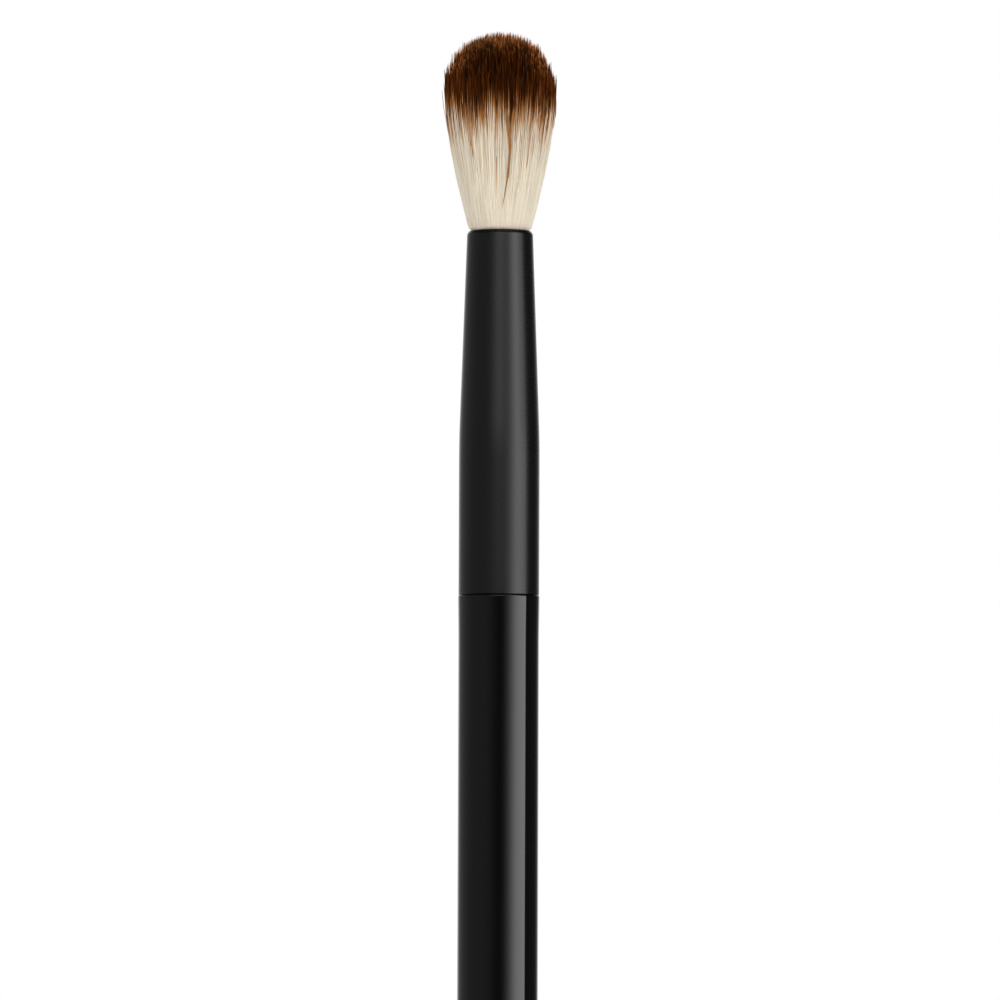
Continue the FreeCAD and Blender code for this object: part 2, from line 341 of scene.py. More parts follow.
def around(profile, segments, closed):
    """Surface of revolution: each profile point (r, z) becomes the ring (r cos a, r sin a, z).

    A closed profile gives a tube wall. An open one starts and ends on the axis, in two poles. Going
    down the outside, the faces point away from the axis.
    """
    count = len(profile)
    angle = np.linspace(0.0, FULL_TURN, segments, endpoint=False)
    radius, height = profile[:, 0, None], profile[:, 1, None]
    points = joined(radius * np.cos(angle), radius * np.sin(angle), height).reshape(-1, 3)
    run = np.concatenate([[0.0], np.cumsum(np.linalg.norm(np.diff(profile, axis=0), axis=1))])
    if closed:
        run = np.append(run, run[-1] + np.linalg.norm(profile[0] - profile[-1]))
    along = run / run[-1]
    row = np.arange(count if closed else count - 1)[:, None]
    column = np.arange(segments)[None, :]
    next_row, next_column = (row + 1) % count, (column + 1) % segments
    quads = joined(row * segments + column, next_row * segments + column,
                   next_row * segments + next_column, row * segments + next_column)
    left, right = column / segments, (column + 1) / segments
    low, high = along[row], along[row + 1]
    uv = np.stack([joined(left, low), joined(left, high), joined(right, high), joined(right, low)], axis=-2)
    if closed:
        return points, [quads.reshape(-1, 4)], [uv.reshape(-1, 4, 2)]
    # The first and last rings are single points, so their quads lose the corner that repeats
    points = points[segments - 1:len(points) - segments + 1]
    quads = np.clip(quads - (segments - 1), 0, len(points) - 1)
    middle = (left + right)[0] / 2.0
    cap_uv, end_uv = uv[0][:, [0, 1, 2]], uv[-1][:, [0, 1, 3]]
    cap_uv[:, 0, 0] = end_uv[:, 1, 0] = middle
    faces = [quads[0][:, [0, 1, 2]], quads[1:-1].reshape(-1, 4), quads[-1][:, [0, 1, 3]]]
    return points, faces, [cap_uv, uv[1:-1].reshape(-1, 4, 2), end_uv]


def smooth_step(low, high, value):
    """0 below low, 1 above high, and 3 s squared less 2 s cubed between them."""
    share = np.clip((value - low) / (high - low), 0.0, 1.0)
    return share * share * (3.0 - 2.0 * share)


def scattered(count, rng):
    """Random places round the origin, as complex numbers: a normal deviate in each direction."""
    return rng.standard_normal(count) + 1j * rng.standard_normal(count)


def common(group, rng):
    """One normal deviate for each group, given to all its members."""
    return rng.standard_normal(group.max() + 1)[group]


def sunflower(count, rng, loose):
    """Even places on the unit disc, as complex numbers.

    The radius is the root of the running share, turned by the golden angle at each step. Each place is
    then moved at random, by loose over the root of the count.
    """
    index = np.arange(count)
    place = np.sqrt((index + 0.5) / count) * np.exp(1j * index * GOLDEN_ANGLE)
    return place + loose / math.sqrt(count) * scattered(count, rng)


def nearest(places, centres):
    """Index of the centre that lies nearest to each place."""
    return np.abs(places[:, None] - centres[None, :]).argmin(axis=1)


def soft_limit(place, start, end):
    """Places drawn in so that none passes end, as a share of the radius.

    What a share has in excess of start goes through a hyperbolic tangent.
    """
    share = np.maximum(np.abs(place), 1e-9)
    room = end - start
    held = np.where(share > start, start + room * np.tanh((share - start) / room), share)
    return place * held / share


def filament_tubes(path, thickness, twist, mark, climb):
    """Three-sided tubes along many paths at once.

    At each station a tube's corners lie level round its path, a third of a turn apart, and the last
    station is the single point of the tip. The UV of a corner is the filament's mark on the dye map,
    and how high the corner lies. Each filament is a narrow strip of the map.
    """
    count, stations = path.shape[:2]
    rings = stations - 1
    turn = twist[:, None] + np.arange(3) * (FULL_TURN / 3.0)
    level = joined(np.cos(turn), np.sin(turn), 0.0)
    tube = path[:, :rings, None] + thickness[:, :rings, None, None] / 2.0 * level[:, None]
    points = np.concatenate([tube.reshape(count, rings * 3, 3), path[:, rings:]], axis=1)
    first = (np.arange(count) * (rings * 3 + 1))[:, None, None]
    ring, side = np.arange(rings - 1)[None, :, None] * 3, np.arange(3)[None, None, :]
    low, low_next = first + ring + side, first + ring + (side + 1) % 3
    quads = joined(low, low_next, low_next + 3, low + 3)
    top, apex = first + (rings - 1) * 3, first + rings * 3
    tips = joined(top + side, top + (side + 1) % 3, apex)
    feet = joined(first + 2, first + 1, first)
    left = mark[:, None, None] + STRIP * (side - 1.5)
    right, middle = left + STRIP, left + STRIP / 2.0
    under, over = climb[:, :rings - 1, None], climb[:, 1:rings, None]
    quad_uv = [joined(left, under), joined(right, under), joined(right, over), joined(left, over)]
    last, end = climb[:, rings - 1, None, None], climb[:, rings, None, None]
    tip_uv = [joined(left, last), joined(right, last), joined(middle, end)]
    foot = climb[:, 0]
    foot_uv = [joined(mark + STRIP, foot), joined(mark - STRIP, foot), joined(mark, foot + FOOT)]
    faces = [quads.reshape(-1, 4), tips.reshape(-1, 3), feet.reshape(-1, 3)]
    corner_uv = [np.stack(corners, axis=-2) for corners in (quad_uv, tip_uv, foot_uv)]
    return points.reshape(-1, 3), faces, corner_uv


def bundle_radius(height, bristles, bore, swell=1.2):
    """Radius of the bundle at a height above the mouth.

    It is the belly's, less a power of how far the height is short of the belly. Close to the mouth it
    swells from the bore at a slope until it meets that curve.
    """
    belly, neck = bristles.belly_diameter / 2.0, bristles.neck_diameter / 2.0
    short = np.clip(1.0 - height / bristles.belly_height, 0.0, 1.0)
    return np.minimum(belly - (belly - neck) * short ** bristles.flare_power, bore + swell * height)


def dome_top(share, bristles):
    """Height above the mouth of a tip, from its share of the bundle's radius.

    It is a superellipse that stands on the belly.
    """
    rise = FREE_LENGTH - bristles.belly_height
    power = bristles.dome_power
    return bristles.belly_height + rise * (1.0 - np.clip(share, 0.0, 1.0) ** power) ** (1.0 / power)


def wick_filaments(rng):
    """Filaments of all wicks: places on the surface, slopes, bows, lowest heights of the dye and strengths.

    A wick is lowest in its middle. Round the back they lie at random, as straight lines.
    """
    turn = rng.uniform(0.05 * math.pi, 0.95 * math.pi, BACK_WICKS)
    back = joined(np.cos(turn), 0.0, 0.0, rng.uniform(0.0040, 0.0092, BACK_WICKS),
                  rng.uniform(0.002, 0.010, BACK_WICKS), rng.uniform(0.2, 0.9, BACK_WICKS))
    wicks = np.concatenate([FRONT_WICKS, back])
    number = np.ceil(wicks[:, 4] * WICK_DENSITY).astype(int)
    facing = np.repeat(np.where(np.arange(len(wicks)) < len(FRONT_WICKS), -1.0, 1.0), number)
    middle, slope, bow, low, half, strength = np.repeat(wicks, number, axis=0).T
    gap = rng.uniform(-1.0, 1.0, len(middle))
    aside = np.clip(middle + gap * half, -WICK_ASIDE, WICK_ASIDE)
    place = aside + 1j * facing * np.sqrt(WICK_SHARE ** 2 - aside ** 2)
    return place, slope, bow, low + WICK_EDGE * np.abs(gap) ** WICK_POINT, strength


def dye_marks(place, clump, lock, wick_low, wick_strength, bristles, rng):
    """Mark on the dye map of each filament.

    The dipped level shifts from lock to lock, clump to clump and filament to filament, and on some it
    has run down. Towards the left and right sides the level lies higher and shifts more, which shapes the
    dye line and also paints those sides lighter, and the tones there are lighter as painted light.
    A filament of a wick has the wick's lowest height, and its strength instead of a tone.
    """
    count, aside = len(place), np.abs(place.real)
    outer = smooth_step(0.45, 0.75, np.abs(place))
    sides = smooth_step(0.50, 0.85, aside) * outer
    height = bristles.dye_height + LOCK_LEVEL * common(lock, rng)
    height = height + CLUMP_LEVEL * common(clump, rng)
    height = height + OWN_LEVEL * (1.0 + SIDE_SPREAD * sides) * rng.standard_normal(count)
    # The dye line lies higher on the left and right sides, partly as painted light that lightens them
    height = height + np.where(place.real > 0.0, RIGHT_LEVEL, LEFT_LEVEL) * sides
    height = height - rng.exponential(RUN_LENGTH, count) * (rng.random(count) < RUN_SHARE)
    dipped_cell = np.floor(np.clip(height, LOWEST_DYE, HIGHEST_DYE) / DIPPED_STEP)
    wick_cell = DIPPED_CELLS + np.floor(np.minimum(wick_low, HIGHEST_WICK) / WICK_STEP)
    tone = MIDDLE_TONE + CLUMP_TONE * common(clump, rng) + OWN_TONE * rng.standard_normal(count)
    # Painted light: the filaments on the left and right sides, as the camera sees them, get lighter tones
    tone = np.clip(tone + SIDE_PAINTED_LIGHT * smooth_step(0.40, 0.90, aside) * outer, 0.0, 1.0)
    wicked = wick_low < NO_WICK
    cell, tone = np.where(wicked, (wick_cell, wick_strength), (dipped_cell, tone))
    return (cell + TONE_START + TONE_WIDTH * tone) / CELLS


def filaments(bristles):
    """Plan of all filaments: places, groups, tips, drifts and where the dye begins, as arrays by name.

    A filament keeps its place in the bundle, as a share of the radius. Its tip ends near the dome, lower
    the further it lies from the middle of its clump, and the tips at the belly are the most ragged.
    """
    rng = np.random.default_rng(SEED)
    count, clumps, locks = bristles.filament_count, bristles.clump_count, bristles.lock_count
    place = soft_limit(sunflower(count, rng, 0.35), 0.85, 0.965)
    wick_place, *wick_values = wick_filaments(rng)
    place = np.concatenate([place, wick_place])
    wick_slope, wick_bow, wick_low, wick_strength = (np.pad(value, (count, 0)) for value in wick_values)
    wick_low[:count] = NO_WICK
    count, share = len(place), np.abs(place)
    clump_middle = soft_limit(sunflower(clumps, rng, 0.22), 0.85, 0.97)
    lock_middle = sunflower(locks, rng, 0.22)
    clump, lock = nearest(place, clump_middle), nearest(place, lock_middle)
    to_clump, to_lock = clump_middle[clump] - place, lock_middle[lock] - place

    clump_rise = np.minimum(rng.exponential(CLUMP_RISE, clumps), MOST_RISE) + CLUMP_BASE
    clump_lean = CLUMP_LEAN * scattered(clumps, rng)
    clump_reach = 1.0 / math.sqrt(clumps)
    top = dome_top(np.abs(place + 0.7 * to_clump), bristles) + clump_rise[clump]
    top = top - RIM_FALL * np.abs(to_clump) / clump_reach - rng.exponential(TIP_FALL, count)
    top = top - BELLY_FALL * rng.random(count) ** 1.6 * smooth_step(0.6, 0.95, share)
    fuller = LEFT_RISE * smooth_step(0.4, 0.8, -place.real)
    most_over = 0.0002 + 0.0004 * smooth_step(0.55, 0.85, share) + fuller
    top = np.minimum(top + TIP_RISE + fuller, dome_top(share, bristles) + most_over)
    drift = DRIFT * scattered(count, rng) + (LOCK_DRIFT * scattered(locks, rng))[lock]
    outside = share > 0.9
    clump_splay = np.where(rng.random(clumps) < CLUMPS_OFF, rng.uniform(0.0, 0.05, clumps), 0.0)
    splay = np.where(outside, clump_splay[clump], 0.0)
    stray = outside & (rng.random(count) < FILAMENTS_OFF)
    splay = splay + np.where(stray, rng.uniform(0.004, 0.04, count), 0.0)
    return {
        "place": place, "to_clump": to_clump + clump_lean[clump], "to_lock": to_lock, "top": top,
        "drift": drift, "splay": splay, "sway_turn": rng.uniform(0.0, FULL_TURN, count),
        "sway_phase": rng.uniform(0.0, FULL_TURN, count), "thick": rng.uniform(0.85, 1.15, count),
        "twist": rng.uniform(0.0, FULL_TURN, count),
        "wick_low": wick_low, "wick_slope": wick_slope, "wick_bow": wick_bow,
        "mark": dye_marks(place, clump, lock, wick_low, wick_strength, bristles, rng),
    }


def grown(plan, t, bristles, ferrule):
    """Paths, thicknesses, twists, dye marks and heights of planned filaments at stations t of their length.

    The share of the radius is kept while the bundle widens. On the way up a filament leans towards the
    middle of its lock, then of its clump, and drifts and sways a little. One with a wick of dye comes to
    the surface where the wick begins, follows it and sinks back into the dipped part. Just under the
    surface the filaments are thicker, which closes the gaps. Below the mouth all stand upright in the
    bound root.
    """
    column = {name: part[:, None] for name, part in plan.items()}
    place, top, low = column["place"], column["top"], column["wick_low"]
    bore = ferrule.mouth_diameter / 2.0 - ferrule.wall - BORE_GAP
    bound = THREAD_HIGH.x - THREAD_GAP
    height = top * t
    sway = SWAY * np.exp(1j * column["sway_turn"]) * np.sin(SWAY_WAVES * t + column["sway_phase"])
    share = (place + column["to_lock"] * TO_LOCK * smooth_step(0.1, 1.0, t)
             + column["to_clump"] * TO_CLUMP * smooth_step(0.70, 1.0, t)
             + column["drift"] * smooth_step(0.0, 1.0, t) + sway * smooth_step(0.0, 0.4, t))
    along_wick = np.minimum((height - WICK_MIDDLE) / WICK_UNIT, WICK_END)
    lead = column["wick_slope"] * along_wick + column["wick_bow"] * along_wick ** 2
    share = soft_limit(share + lead * smooth_step(0.0, 0.2, t), 0.94, 1.0)
    raised = WICK_UNDER + WICK_RISE * smooth_step(low - 0.0016, low + 0.0016, height)
    held = (low < NO_WICK) * (1.0 - smooth_step(0.0105, 0.0150, height))
    share = share + held * (raised / np.abs(share) - 1.0) * share
    share = share + column["splay"] * np.exp(1j * np.angle(place)) * t ** 5
    spread = share * bundle_radius(height, bristles, bore)
    free = joined(spread.real, spread.imag, FERRULE_HIGH.z + height)
    roots = [joined(place.real * bound, place.imag * bound, z) for z in (ROOT_LOW.z, THREAD_HIGH.z)]
    path = np.concatenate([*roots, free], axis=1)

    taper = ROOT_THICKNESS + GROWTH * smooth_step(0.0, 0.4, t)
    taper = taper * (1.0 - UPPER_LOSS * smooth_step(0.6, 0.9, t) - TIP_LOSS * smooth_step(0.92, 0.99, t))
    depth = np.abs(place)
    under = smooth_step(0.72, 0.78, depth) * (1.0 - smooth_step(0.90, 0.94, depth))
    shown = smooth_step(0.05, 0.2, t) * (1.0 - smooth_step(0.60, 0.86, t))
    taper = taper * (1.0 + UNDER_GAIN * under * shown)
    taper = np.pad(taper, ((0, 0), (2, 0)), constant_values=ROOT_THICKNESS)
    thickness = bristles.diameter * column["thick"] * taper

    # Heights on the dye map are true, apart from the end of a short filament, which runs on, and further on
    # the left and right sides as painted light
    painted_light_at_sides = smooth_step(0.25, 0.70, np.abs(place.real)) * smooth_step(0.0140, 0.0170, top)
    run_on = (RUN_ON + SIDE_PAINTED_RUN_ON * painted_light_at_sides) * (FREE_LENGTH - top)
    climb = height + run_on * smooth_step(-0.0011, 0.0, height - top)
    climb = np.pad(climb, ((0, 0), (2, 0))) / DYE_SPAN
    return path, thickness, plan["twist"], plan["mark"], climb


# Materials


def add_node(tree, kind, inputs=None, **settings):
    """New node to the right of the last, with its settings, and values or links at its inputs."""
    made = tree.nodes.new(kind)
    made.location = (200 * len(tree.nodes), 0)
    for name, value in settings.items():
        setattr(made, name, value)
    for name, value in (inputs or {}).items():
        if isinstance(value, bpy.types.NodeSocket):
            tree.links.new(value, made.inputs[name])
        else:
            made.inputs[name].default_value = value
    return made


def maths(tree, operation, first, second=0.0):
    """Output of a Math node."""
    return add_node(tree, "ShaderNodeMath", {0: first, 1: second}, operation=operation).outputs[0]


def mapped(tree, value, low, high, first=0.0, last=1.0, kind="SMOOTHSTEP"):
    """Output that runs, eased or straight, from first to last while the value runs from low to high."""
    limits = {"Value": value, "From Min": low, "From Max": high, "To Min": first, "To Max": last}
    return add_node(tree, "ShaderNodeMapRange", limits, interpolation_type=kind).outputs["Result"]


def mixed(tree, share, first, second):
    """Output that goes from the first value to the second with the share."""
    return add_node(tree, "ShaderNodeMix", {0: share, 2: first, 3: second}).outputs[0]


def noise(tree, place, scale, detail, **settings):
    """Output of a Noise Texture."""
    given = {"Vector": place, "Scale": scale, "Detail": detail}
    return add_node(tree, "ShaderNodeTexNoise", given, **settings).outputs["Fac"]


def ramped(tree, value, first, *between, last):
    """Colour that the value picks from (position, colour) stops."""
    ramp = add_node(tree, "ShaderNodeValToRGB", {"Fac": value})
    stops = ramp.color_ramp.elements
    stops[0].position, stops[0].color = first[0], rgba(first[1])
    stops[1].position, stops[1].color = last[0], rgba(last[1])
    for position, colour in between:
        stops.new(position).color = rgba(colour)
    return ramp.outputs["Color"]


def object_place(tree):
    """Output of the Object coordinates."""
    return add_node(tree, "ShaderNodeTexCoord").outputs["Object"]


def new_material(name):
    """Empty node material, its tree and its Principled shader."""
    material = bpy.data.materials.new(name)
    material.use_nodes = True
    tree = material.node_tree
    return material, tree, tree.nodes["Principled BSDF"]


def rgba(colour):
    """Colour setting with full alpha."""
    return (*colour, 1.0)


def grain_group():
    """Shared effect: fine grain on Object coordinates, stretched along the brush, with patches of handling.

    Height is the grain, and Roughness runs between two values with the grain and the patches.
    """
    group = bpy.data.node_groups.get("surface grain")
    if group:
        return group
    group = bpy.data.node_groups.new("surface grain", "ShaderNodeTree")
    defaults = {"Scale": 4000.0, "Stretch": 1.0, "Least roughness": 0.3, "Most roughness": 0.4}
    for name, default in defaults.items():
        socket = group.interface.new_socket(name, in_out="INPUT", socket_type="NodeSocketFloat")
        socket.default_value = default
    for name in ("Height", "Roughness"):
        group.interface.new_socket(name, in_out="OUTPUT", socket_type="NodeSocketFloat")
    given = add_node(group, "NodeGroupInput").outputs
    place = object_place(group)
    along = maths(group, "DIVIDE", 1.0, given["Stretch"])
    squeeze = add_node(group, "ShaderNodeCombineXYZ", {"X": 1.0, "Y": 1.0, "Z": along}).outputs[0]
    squeezed = add_node(group, "ShaderNodeVectorMath", {0: place, 1: squeeze}, operation="MULTIPLY")
    grain = noise(group, squeezed.outputs[0], given["Scale"], 3.0)
    patches = noise(group, place, 180.0, 4.0)
    both = maths(group, "ADD", maths(group, "MULTIPLY", grain, 0.35), maths(group, "MULTIPLY", patches, 0.65))
    rough = mapped(group, both, 0.3, 0.7, given["Least roughness"], given["Most roughness"], kind="LINEAR")
    add_node(group, "NodeGroupOutput", {"Height": grain, "Roughness": rough})
    return group


def grained(tree, shader, scale, stretch, least, most, depth):
    """Places the shared grain in a material: it drives Roughness, and a bump of the given depth."""
    given = {"Scale": scale, "Stretch": stretch, "Least roughness": least, "Most roughness": most}
    grain = add_node(tree, "ShaderNodeGroup", given, node_tree=grain_group()).outputs
    tree.links.new(grain["Roughness"], shader.inputs["Roughness"])
    bump = add_node(tree, "ShaderNodeBump", {"Height": grain["Height"], "Strength": 1.0, "Distance": depth})
    tree.links.new(bump.outputs["Normal"], shader.inputs["Normal"])


def lacquer_material(colour):
    """High-gloss black lacquer over turned wood: a deep colour and a smooth, very slightly wavy skin."""
    material, tree, shader = new_material("gloss_black_lacquer")
    shader.inputs["Base Color"].default_value = rgba(colour)
    grained(tree, shader, scale=900.0, stretch=4.0, least=0.035, most=0.075, depth=0.0000006)
    return material


def satin_material(colour):
    """Satin black metal finish: fine even grain that spreads the light into a broad, soft band."""
    material, tree, shader = new_material("satin_black_ferrule")
    shader.inputs["Base Color"].default_value = rgba(colour)
    shader.inputs["Specular IOR Level"].default_value = 0.57
    grained(tree, shader, scale=9000.0, stretch=3.0, least=0.25, most=0.31, depth=0.0000025)
    return material


def filament_material(bristles):
    """Dip-dyed filament, read from the dye map: U is the mark, a cell and a tone, and V is the height.

    The height above the beginning of the dye runs through cream, tan, brown and dark brown, over a faint
    tint that begins lower on all filaments. The fine tips turn lighter again. The tone spreads the brown
    filaments more than the cream ones.
    """
    material, tree, shader = new_material("dip_dyed_filament")
    do, eased, straight = partial(maths, tree), partial(mapped, tree), partial(mapped, tree, kind="LINEAR")
    where = add_node(tree, "ShaderNodeUVMap", uv_map=UV_NAME).outputs["UV"]
    split = add_node(tree, "ShaderNodeSeparateXYZ", {"Vector": where}).outputs
    height = split["Y"]
    marks = do("MULTIPLY", split["X"], CELLS)
    cell = do("FLOOR", marks)
    tone = do("DIVIDE", do("SUBTRACT", do("FRACT", marks), TONE_START), TONE_WIDTH)
    wicked = do("GREATER_THAN", cell, DIPPED_CELLS - 0.5)
    # Mottling that differs between filaments and changes slowly along each
    across, along = do("MULTIPLY", marks, 9.0), do("MULTIPLY", height, 6.0)
    spot = add_node(tree, "ShaderNodeCombineXYZ", {"X": across, "Y": along, "Z": 0.0}).outputs[0]
    mottle = noise(tree, spot, 1.0, 2.0, noise_dimensions="2D")
    # Dipped filaments take their colour the more slowly, the lower their dye begins
    begin = do("MULTIPLY", do("ADD", cell, 0.5), DIPPED_STEP / DYE_SPAN)
    shift = do("MULTIPLY", do("SUBTRACT", mottle, 0.5), 0.06)
    depth = do("ADD", do("SUBTRACT", height, begin), shift)
    dipped = do("DIVIDE", depth, straight(begin, 0.1, 0.40, 0.36, 0.235))
    # A wick keeps a thin colour of its own strength until it reaches the dipped part
    lowest = do("MULTIPLY", do("SUBTRACT", cell, DIPPED_CELLS), WICK_STEP / DYE_SPAN)
    strength = do("ADD", do("MULTIPLY", tone, WICK_RANGE), WEAK_WICK)
    crept = eased(do("SUBTRACT", height, lowest), 0.0, WICK_COMES, 0.0, strength)
    level = do("DIVIDE", do("SUBTRACT", height, WICK_DIP), WICK_DEPTH)
    strong = mixed(tree, wicked, dipped, do("MAXIMUM", crept, level))
    dye = do("MAXIMUM", eased(height, 0.2, 0.45, 0.0, 0.03), strong)
    dyed = ramped(tree, dye, (0.0, bristles.cream), (0.29, bristles.tan), (0.56, bristles.brown),
                  last=(0.81, bristles.dark_brown))
    full = add_node(tree, "ShaderNodeClamp", {"Value": dye}).outputs[0]
    at_tip = do("MULTIPLY", eased(height, TIPS_LOW, TIPS_HIGH), full)
    tipped = add_node(tree, "ShaderNodeMix", {0: at_tip, 6: dyed, 7: rgba(bristles.tip)}, data_type="RGBA")
    # The tone scales the colour, fully where it is brown and hardly where it is cream
    own_tone = do("SUBTRACT", mixed(tree, wicked, tone, WICK_TONE), PLAIN_TONE)
    value = do("POWER", TONE_RATIO, do("MULTIPLY", straight(dye, 0.45, 0.9, 0.04, 1.0), own_tone))
    toned = add_node(tree, "ShaderNodeHueSaturation", {"Value": value, "Color": tipped.outputs[2]})
    tree.links.new(toned.outputs["Color"], shader.inputs["Base Color"])
    tree.links.new(straight(mottle, 0.3, 0.7, 0.36, 0.5), shader.inputs["Roughness"])
    shader.inputs["Specular IOR Level"].default_value = 0.05
    return material


def glue_material():
    """Set epoxy: amber with cloudy patches and a slightly dimpled skin."""
    material, tree, shader = new_material("set_epoxy")
    cloud = noise(tree, object_place(tree), 900.0, 4.0)
    amber = ramped(tree, cloud, (0.3, (0.60, 0.44, 0.22)), last=(0.7, (0.76, 0.64, 0.42)))
    tree.links.new(amber, shader.inputs["Base Color"])
    grained(tree, shader, scale=1500.0, stretch=1.0, least=0.22, most=0.4, depth=0.00001)
    return material


def thread_material():
    """Twisted cotton: slanting plies with painted shade between them, and a dry surface."""
    material, tree, shader = new_material("twisted_cotton")
    slant = add_node(tree, "ShaderNodeMapping", {"Vector": object_place(tree), "Rotation": (0.7, 0.5, 0.3)})
    plies = add_node(tree, "ShaderNodeTexWave", {
        "Vector": slant.outputs[0], "Scale": 1800.0, "Distortion": 1.5, "Detail": 2.0})
    # Painted shade: the cotton is darker in the grooves between the plies
    cotton = ramped(tree, plies.outputs["Fac"], (0.0, (0.56, 0.52, 0.45)), last=(1.0, (0.84, 0.81, 0.74)))
    tree.links.new(cotton, shader.inputs["Base Color"])
    grained(tree, shader, scale=6000.0, stretch=1.0, least=0.75, most=0.9, depth=0.00002)
    return material


def floor_material(colour):
    """Plain pale floor with the faintest mottling, which runs out into the white of the background.

    For the camera it turns white with the distance, and gloss sees through it to the studio behind.
    """
    material, tree, shader = new_material("pale_floor")
    place = object_place(tree)
    pale = mapped(tree, noise(tree, place, 40.0, 3.0), 0.0, 1.0, 0.985, 1.0, kind="LINEAR")
    toned = add_node(tree, "ShaderNodeHueSaturation", {"Value": pale, "Color": rgba(colour)}).outputs["Color"]
    tree.links.new(toned, shader.inputs["Base Color"])
    shader.inputs["Roughness"].default_value = 0.8
    shader.inputs["Specular IOR Level"].default_value = 0.1
    away = add_node(tree, "ShaderNodeVectorMath", {0: place}, operation="LENGTH").outputs["Value"]
    rays = add_node(tree, "ShaderNodeLightPath").outputs
    white = maths(tree, "MULTIPLY", mapped(tree, away, WHITE_FROM, WHITE_BY), rays["Is Camera Ray"])
    surface = shader.outputs[0]
    for share, beyond in (
        (white, "ShaderNodeEmission"), (rays["Is Glossy Ray"], "ShaderNodeBsdfTransparent"),
    ):
        other = add_node(tree, beyond).outputs[0]
        surface = add_node(tree, "ShaderNodeMixShader", {0: share, 1: surface, 2: other}).outputs[0]
    tree.links.new(surface, tree.nodes["Material Output"].inputs["Surface"])
    return material


# Operators


class BRUSH_OT_handle(bpy.types.Operator):
    """Turn the handle: grooved tenon, shoulder, straight grip and a long taper to a rounded tail."""

    bl_idname = "blending_brush.handle"
    bl_label = "Handle"

    def execute(self, context):
        handle = context.scene.brush_handle
        shoulder, chamfer = GRIP_RADIUS + handle.shoulder_step, handle.shoulder_chamfer
        tail, tenon = handle.tail_diameter / 2.0, handle.tenon_diameter / 2.0
        seat, top, end = FERRULE_LOW.z, HANDLE_HIGH.z, HANDLE_LOW.z
        middle = (seat + top) / 2.0
        grooves = [(tenon - handle.groove_depth * cut, middle + GROOVE_PITCH * row + HALF_GROOVE * side, 0.0)
                   for row in (1, 0, -1) for side, cut in ((1, 0), (0, 1), (-1, 0))]
        profile = eased_profile([
            (0.0, top, 0.0),
            (tenon - TENON_CHAMFER, top, 0.0),
            (tenon, top - TENON_CHAMFER, 0.0),
            *grooves,
            (tenon, seat, 0.0),
            (shoulder - chamfer, seat, 0.00003),
            (shoulder, seat - chamfer, 0.00006),
            (GRIP_RADIUS, HALF_GRIP, 0.001),
            (GRIP_RADIUS, -HALF_GRIP - TAPER_EASE, TAPER_EASE),
            (tail, end, tail * TAIL_EASE),
            (0.0, end, 0.0),
        ], closed=False)
        piece = put_piece("lacquered_handle", *around(profile, FACETS, closed=False))
        dress(piece, lacquer_material(handle.lacquer_colour), "handle_lacquer", "handle")
        return {"FINISHED"}


class BRUSH_OT_ferrule(bpy.types.Operator):
    """Draw the ferrule: an even tube, straight over the tenon, tapering to a rounded lip."""

    bl_idname = "blending_brush.ferrule"
    bl_label = "Ferrule"

    def execute(self, context):
        ferrule = context.scene.brush_ferrule
        wall, base, mouth = ferrule.wall, FERRULE_HIGH.x, ferrule.mouth_diameter / 2.0
        low, high = FERRULE_LOW.z, FERRULE_HIGH.z
        waist = low + ferrule.straight_length
        profile = eased_profile([
            (mouth - wall * LIP_IN, high, 0.00005),
            (mouth, high - wall * LIP_DOWN, 0.00014),
            (base, waist, 0.002),
            (base, low + BASE_CHAMFER, 0.00003),
            (base - BASE_CHAMFER, low, 0.00003),
            (base - wall, low, 0.0),
            (base - wall, waist, 0.0),
            (mouth - wall, high, 0.00002),
        ], closed=True, hold=0.00001)
        piece = put_piece("satin_ferrule", *around(profile, FACETS, closed=True))
        dress(piece, satin_material(ferrule.satin_colour), "ferrule_black", "ferrule")
        return {"FINISHED"}


class BRUSH_OT_bristles(bpy.types.Operator):
    """Set the filaments of the core, the middle and the outside of the bundle."""

    bl_idname = "blending_brush.bristles"
    bl_label = "Bristles"

    def execute(self, context):
        bristles, ferrule = context.scene.brush_bristles, context.scene.brush_ferrule
        plan = filaments(bristles)
        share = np.abs(plan["place"])
        material = filament_material(bristles)
        for name, inner, outer, stations in (
            ("core", 0.0, CORE_SHARE, HIDDEN_STATIONS),
            ("middle", CORE_SHARE, MIDDLE_SHARE, HIDDEN_STATIONS),
            ("outer", MIDDLE_SHARE, math.inf, SHOWN_STATIONS),
        ):
            chosen = (share >= inner) & (share < outer)
            strands = grown({key: part[chosen] for key, part in plan.items()}, stations, bristles, ferrule)
            piece = put_piece(f"{name}_filaments", *filament_tubes(*strands))
            dress(piece, material, "bristle", f"{name}_bristles")
        return {"FINISHED"}


class BRUSH_OT_hidden(bpy.types.Operator):
    """Finish the adhesives and the binding thread inside the ferrule."""

    bl_idname = "blending_brush.hidden"
    bl_label = "Adhesives and thread"

    def execute(self, context):
        glue, thread = glue_material(), thread_material()
        for name, material in (("tenon_glue", glue), ("root_glue_plug", glue), ("binding_thread", thread)):
            materials = frame["nodes"][name].data.materials
            materials.clear()
            materials.append(material)
        return {"FINISHED"}


